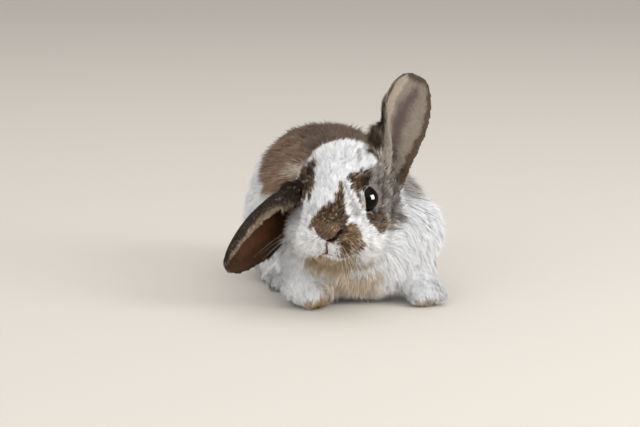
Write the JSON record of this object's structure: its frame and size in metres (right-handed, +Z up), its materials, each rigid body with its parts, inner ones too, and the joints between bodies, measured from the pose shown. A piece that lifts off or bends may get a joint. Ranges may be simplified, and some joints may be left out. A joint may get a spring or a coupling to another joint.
{
  "type": "rabbit",
  "caption": "Life-size still model of a young brown and white rabbit crouching, head turned, one ear raised and the other hanging out to the side.",
  "frame": {"origin": "centre of the bounding box in plan, at floor level", "axes": "the rabbit's body faces -Y, its left side is at +X, +Z is up"},
  "size_m": [0.1182, 0.1704, 0.1153],
  "materials": {
    "white_fur": "soft white coat",
    "brown_fur": "soft grey-brown coat",
    "ear_fur": "short dark brown coat, paler inside",
    "nose_fur": "very short tan coat",
    "eye": "wet dark brown eye"
  },
  "bodies": {
    "root": {"chest": "white_fur", "head": "white_fur", "left_ear": "ear_fur", "left_eye": "eye", "left_foreleg": "white_fur", "left_hind_foot": "white_fur", "left_thigh": "white_fur", "left_upper_arm": "white_fur", "loin": "brown_fur", "lower_jaw": "white_fur", "neck": "brown_fur", "nose": "nose_fur", "right_ear": "ear_fur", "right_eye": "eye", "right_foreleg": "white_fur", "right_hind_foot": "white_fur", "right_thigh": "white_fur", "right_upper_arm": "white_fur", "rump": "brown_fur", "tail": "white_fur"}
  },
  "joints": []
}
